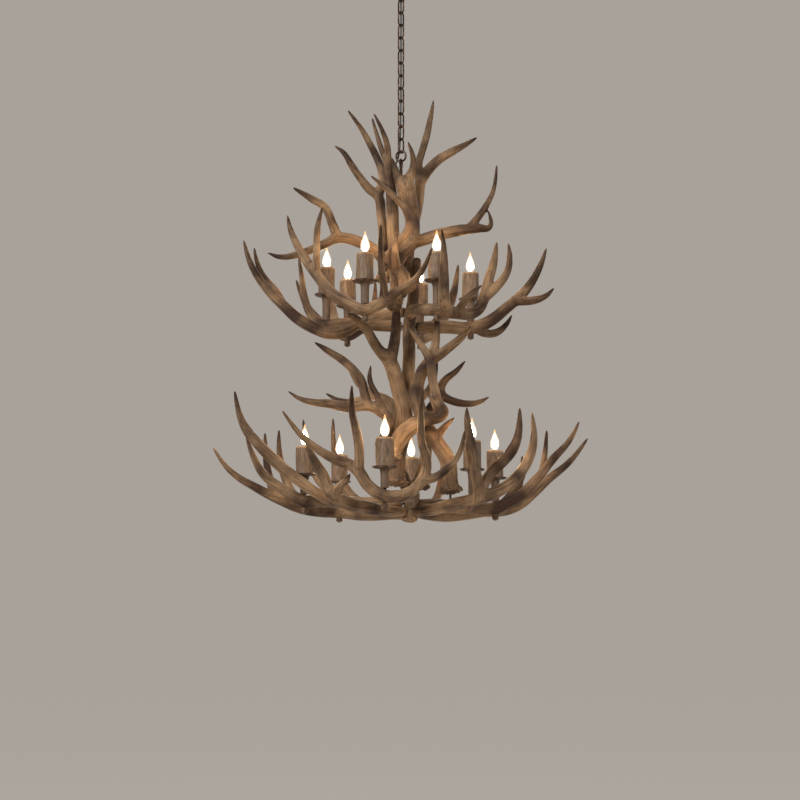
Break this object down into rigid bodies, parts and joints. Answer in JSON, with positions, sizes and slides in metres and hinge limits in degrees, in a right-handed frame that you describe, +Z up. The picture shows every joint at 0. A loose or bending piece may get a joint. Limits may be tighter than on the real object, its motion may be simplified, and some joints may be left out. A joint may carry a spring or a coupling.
{
  "type": "antler chandelier",
  "caption": "Two-tier antler chandelier with candle lights on drip pans, hung from a ceiling canopy by a link chain with a supply cord beside it.",
  "frame": {"origin": "centre of the ceiling face of the canopy and crossbar", "axes": "+Z up into the ceiling, -Y towards the viewer, +X to the viewer's right"},
  "size_m": [1.1323, 0.8807, 1.6591],
  "materials": {
    "antler": "satin, grained",
    "dark_bronze": "satin",
    "bare_steel": "satin",
    "stem_wood": "matt",
    "bark_sleeve": "matt, grained",
    "socket_shell": "matt",
    "bulb_brass": "polished",
    "bulb_glass": "clear",
    "cord_jacket": "matt"
  },
  "bodies": {
    "ceiling_fitting": {"ceiling_crossbar": "bare_steel", "canopy_nipple": "bare_steel", "nipple_nut": "bare_steel", "canopy": "dark_bronze", "canopy_loop": "dark_bronze", "supply_cord": "cord_jacket"},
    "chain_link_1": {"chain_link_1": "dark_bronze"},
    "chain_link_2": {"chain_link_2": "dark_bronze"},
    "chain_link_3": {"chain_link_3": "dark_bronze"},
    "chain_link_4": {"chain_link_4": "dark_bronze"},
    "chain_link_5": {"chain_link_5": "dark_bronze"},
    "chain_link_6": {"chain_link_6": "dark_bronze"},
    "chain_link_7": {"chain_link_7": "dark_bronze"},
    "chain_link_8": {"chain_link_8": "dark_bronze"},
    "chain_link_9": {"chain_link_9": "dark_bronze"},
    "chain_link_10": {"chain_link_10": "dark_bronze"},
    "chain_link_11": {"chain_link_11": "dark_bronze"},
    "chain_link_12": {"chain_link_12": "dark_bronze"},
    "hang_ring": {"hang_ring": "dark_bronze"},
    "fixture": {"eye_bolt": "dark_bronze", "joining_pins": "bare_steel", "crown_front_antler": "antler", "crown_left_antler": "antler", "crown_tall_antler": "antler", "crown_back_left_antler": "antler", "crown_back_right_antler": "antler", "upper_front_left_antler": "antler", "upper_left_antler": "antler", "upper_front_right_antler": "antler", "upper_right_antler": "antler", "upper_back_left_antler": "antler", "upper_back_right_antler": "antler", "middle_fork_antler": "antler", "middle_front_antler": "antler", "middle_right_antler": "antler", "centre_antler": "antler", "middle_left_antler": "antler", "middle_back_right_antler": "antler", "middle_back_antler": "antler", "lower_front_antler": "antler", "lower_left_antler": "antler", "lower_back_left_antler": "antler", "lower_back_antler": "antler", "lower_front_left_antler": "antler", "lower_front_right_antler": "antler", "lower_right_antler": "antler", "lower_back_right_antler": "antler", "candle_rods": "bare_steel", "rod_nuts": "dark_bronze", "candle_stems": "stem_wood", "drip_pans": "dark_bronze", "candle_sleeves": "bark_sleeve", "lamp_sockets": "socket_shell", "bulb_bases": "bulb_brass", "bulb_glass": "bulb_glass"}
  },
  "joints": [
    {"name": "chain_link_1_swing", "type": "hinge", "parent": "ceiling_fitting", "child": "chain_link_1", "pos_m": [0, 0, -0.071], "axis": [0.7071, 0.7071, 0], "range_deg": [-6, 6], "deforming": ["supply_cord"]},
    {"name": "chain_link_2_swing", "type": "hinge", "parent": "chain_link_1", "child": "chain_link_2", "pos_m": [0, 0, -0.1105], "axis": [-0.7071, 0.7071, 0], "range_deg": [-6, 6], "deforming": ["supply_cord"]},
    {"name": "chain_link_3_swing", "type": "hinge", "parent": "chain_link_2", "child": "chain_link_3", "pos_m": [0, 0, -0.1505], "axis": [0.7071, 0.7071, 0], "range_deg": [-6, 6], "deforming": ["supply_cord"]},
    {"name": "chain_link_4_swing", "type": "hinge", "parent": "chain_link_3", "child": "chain_link_4", "pos_m": [0, 0, -0.1905], "axis": [-0.7071, 0.7071, 0], "range_deg": [-6, 6], "deforming": ["supply_cord"]},
    {"name": "chain_link_5_swing", "type": "hinge", "parent": "chain_link_4", "child": "chain_link_5", "pos_m": [0, 0, -0.2305], "axis": [0.7071, 0.7071, 0], "range_deg": [-6, 6], "deforming": ["supply_cord"]},
    {"name": "chain_link_6_swing", "type": "hinge", "parent": "chain_link_5", "child": "chain_link_6", "pos_m": [0, 0, -0.2705], "axis": [-0.7071, 0.7071, 0], "range_deg": [-6, 6], "deforming": ["supply_cord"]},
    {"name": "chain_link_7_swing", "type": "hinge", "parent": "chain_link_6", "child": "chain_link_7", "pos_m": [0, 0, -0.3105], "axis": [0.7071, 0.7071, 0], "range_deg": [-6, 6], "deforming": ["supply_cord"]},
    {"name": "chain_link_8_swing", "type": "hinge", "parent": "chain_link_7", "child": "chain_link_8", "pos_m": [0, 0, -0.3505], "axis": [-0.7071, 0.7071, 0], "range_deg": [-6, 6], "deforming": ["supply_cord"]},
    {"name": "chain_link_9_swing", "type": "hinge", "parent": "chain_link_8", "child": "chain_link_9", "pos_m": [0, 0, -0.3905], "axis": [0.7071, 0.7071, 0], "range_deg": [-6, 6], "deforming": ["supply_cord"]},
    {"name": "chain_link_10_swing", "type": "hinge", "parent": "chain_link_9", "child": "chain_link_10", "pos_m": [0, 0, -0.4305], "axis": [-0.7071, 0.7071, 0], "range_deg": [-6, 6], "deforming": ["supply_cord"]},
    {"name": "chain_link_11_swing", "type": "hinge", "parent": "chain_link_10", "child": "chain_link_11", "pos_m": [0, 0, -0.4705], "axis": [0.7071, 0.7071, 0], "range_deg": [-6, 6], "deforming": ["supply_cord"]},
    {"name": "chain_link_12_swing", "type": "hinge", "parent": "chain_link_11", "child": "chain_link_12", "pos_m": [0, 0, -0.5105], "axis": [-0.7071, 0.7071, 0], "range_deg": [-6, 6], "deforming": ["supply_cord"]},
    {"name": "hang_ring_swing", "type": "hinge", "parent": "chain_link_12", "child": "hang_ring", "pos_m": [0, 0, -0.5505], "axis": [0.7071, 0.7071, 0], "range_deg": [-6, 6], "deforming": ["supply_cord"]},
    {"name": "fixture_swing", "type": "hinge", "parent": "hang_ring", "child": "fixture", "pos_m": [0, 0, -0.5774], "axis": [0.9487, -0.3162, 0], "range_deg": [-10, 10], "deforming": ["supply_cord"]}
  ]
}
